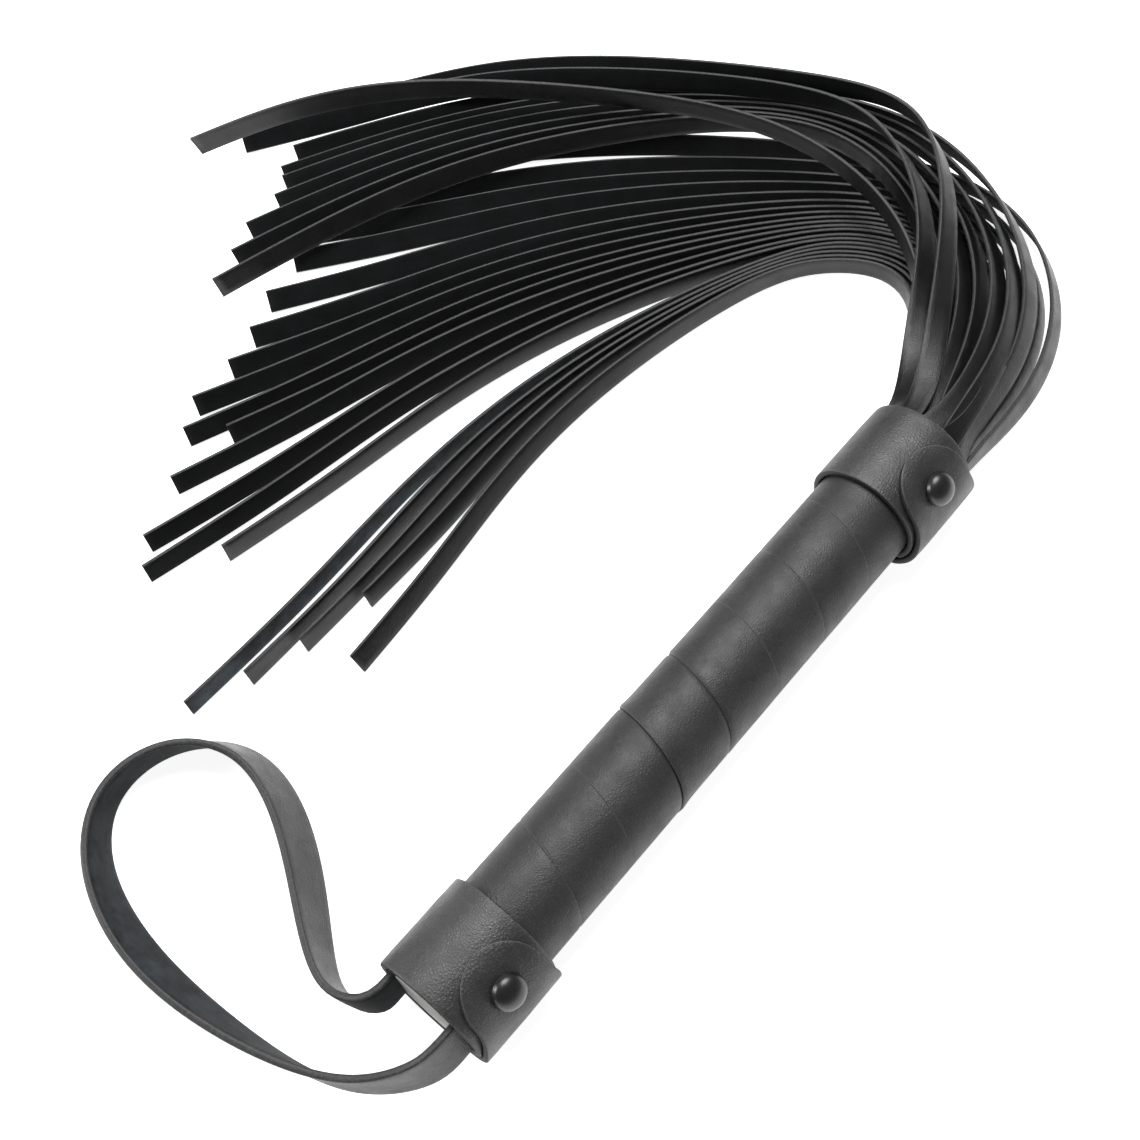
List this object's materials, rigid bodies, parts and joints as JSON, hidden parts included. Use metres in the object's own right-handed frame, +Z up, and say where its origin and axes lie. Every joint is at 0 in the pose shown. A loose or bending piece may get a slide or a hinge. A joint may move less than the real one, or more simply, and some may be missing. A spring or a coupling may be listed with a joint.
{
  "type": "multi-tail leather whip",
  "caption": "Short black leather whip: wrapped round handle, riveted leather collar at each end, flat tails spread from one end and a wrist loop at the other.",
  "frame": {"origin": "on the table under the middle of the handle, measured over the handle, collars and rivets without the tails and the wrist loop", "axes": "+X along the handle towards the tails, +Z up from the table, +Y to the side that the tails bend and the wrist loop lies towards"},
  "size_m": [0.3069, 0.2355, 0.0314],
  "materials": {
    "core_wood": "dry, end grain, painted pale grey",
    "grip_leather": "matt grained black",
    "collar_leather": "matt grained black, burnished edges",
    "strap_leather": "smooth black face, suede back",
    "tail_leather": "smooth black face, suede back",
    "rivet_black": "gloss black",
    "tack_steel": "plain"
  },
  "bodies": {
    "handle": {"handle_core": "core_wood", "grip_wrap": "grip_leather", "butt_collar": "collar_leather", "head_collar": "collar_leather", "butt_rivet_cap": "rivet_black", "butt_rivet_post": "rivet_black", "head_rivet_cap": "rivet_black", "head_rivet_post": "rivet_black", "tail_header": "tail_leather", "strap_end_near": "strap_leather", "strap_end_far": "strap_leather", "strap_tack_near": "tack_steel", "strap_tack_far": "tack_steel", "header_tack_near": "tack_steel", "header_tack_far": "tack_steel"},
    "loop": {"wrist_loop": "strap_leather"},
    "tails": {"tail_01": "tail_leather", "tail_02": "tail_leather", "tail_03": "tail_leather", "tail_04": "tail_leather", "tail_05": "tail_leather", "tail_06": "tail_leather", "tail_07": "tail_leather", "tail_08": "tail_leather", "tail_09": "tail_leather", "tail_10": "tail_leather", "tail_11": "tail_leather", "tail_12": "tail_leather", "tail_13": "tail_leather", "tail_14": "tail_leather", "tail_15": "tail_leather", "tail_16": "tail_leather", "tail_17": "tail_leather", "tail_18": "tail_leather", "tail_19": "tail_leather", "tail_20": "tail_leather", "tail_21": "tail_leather", "tail_22": "tail_leather", "tail_23": "tail_leather", "tail_24": "tail_leather", "tail_25": "tail_leather", "tail_26": "tail_leather", "tail_27": "tail_leather", "tail_28": "tail_leather", "tail_29": "tail_leather"}
  },
  "joints": [
    {"name": "loop_lift", "type": "hinge", "parent": "handle", "child": "loop", "pos_m": [-0.0915, 0.00095, 0.0258], "axis": [0, 1, 0], "range_deg": [0, 50]},
    {"name": "tails_lift", "type": "hinge", "parent": "handle", "child": "tails", "pos_m": [0.0915, 0.00095, 0.0283], "axis": [0, -1, 0], "range_deg": [0, 35]}
  ]
}
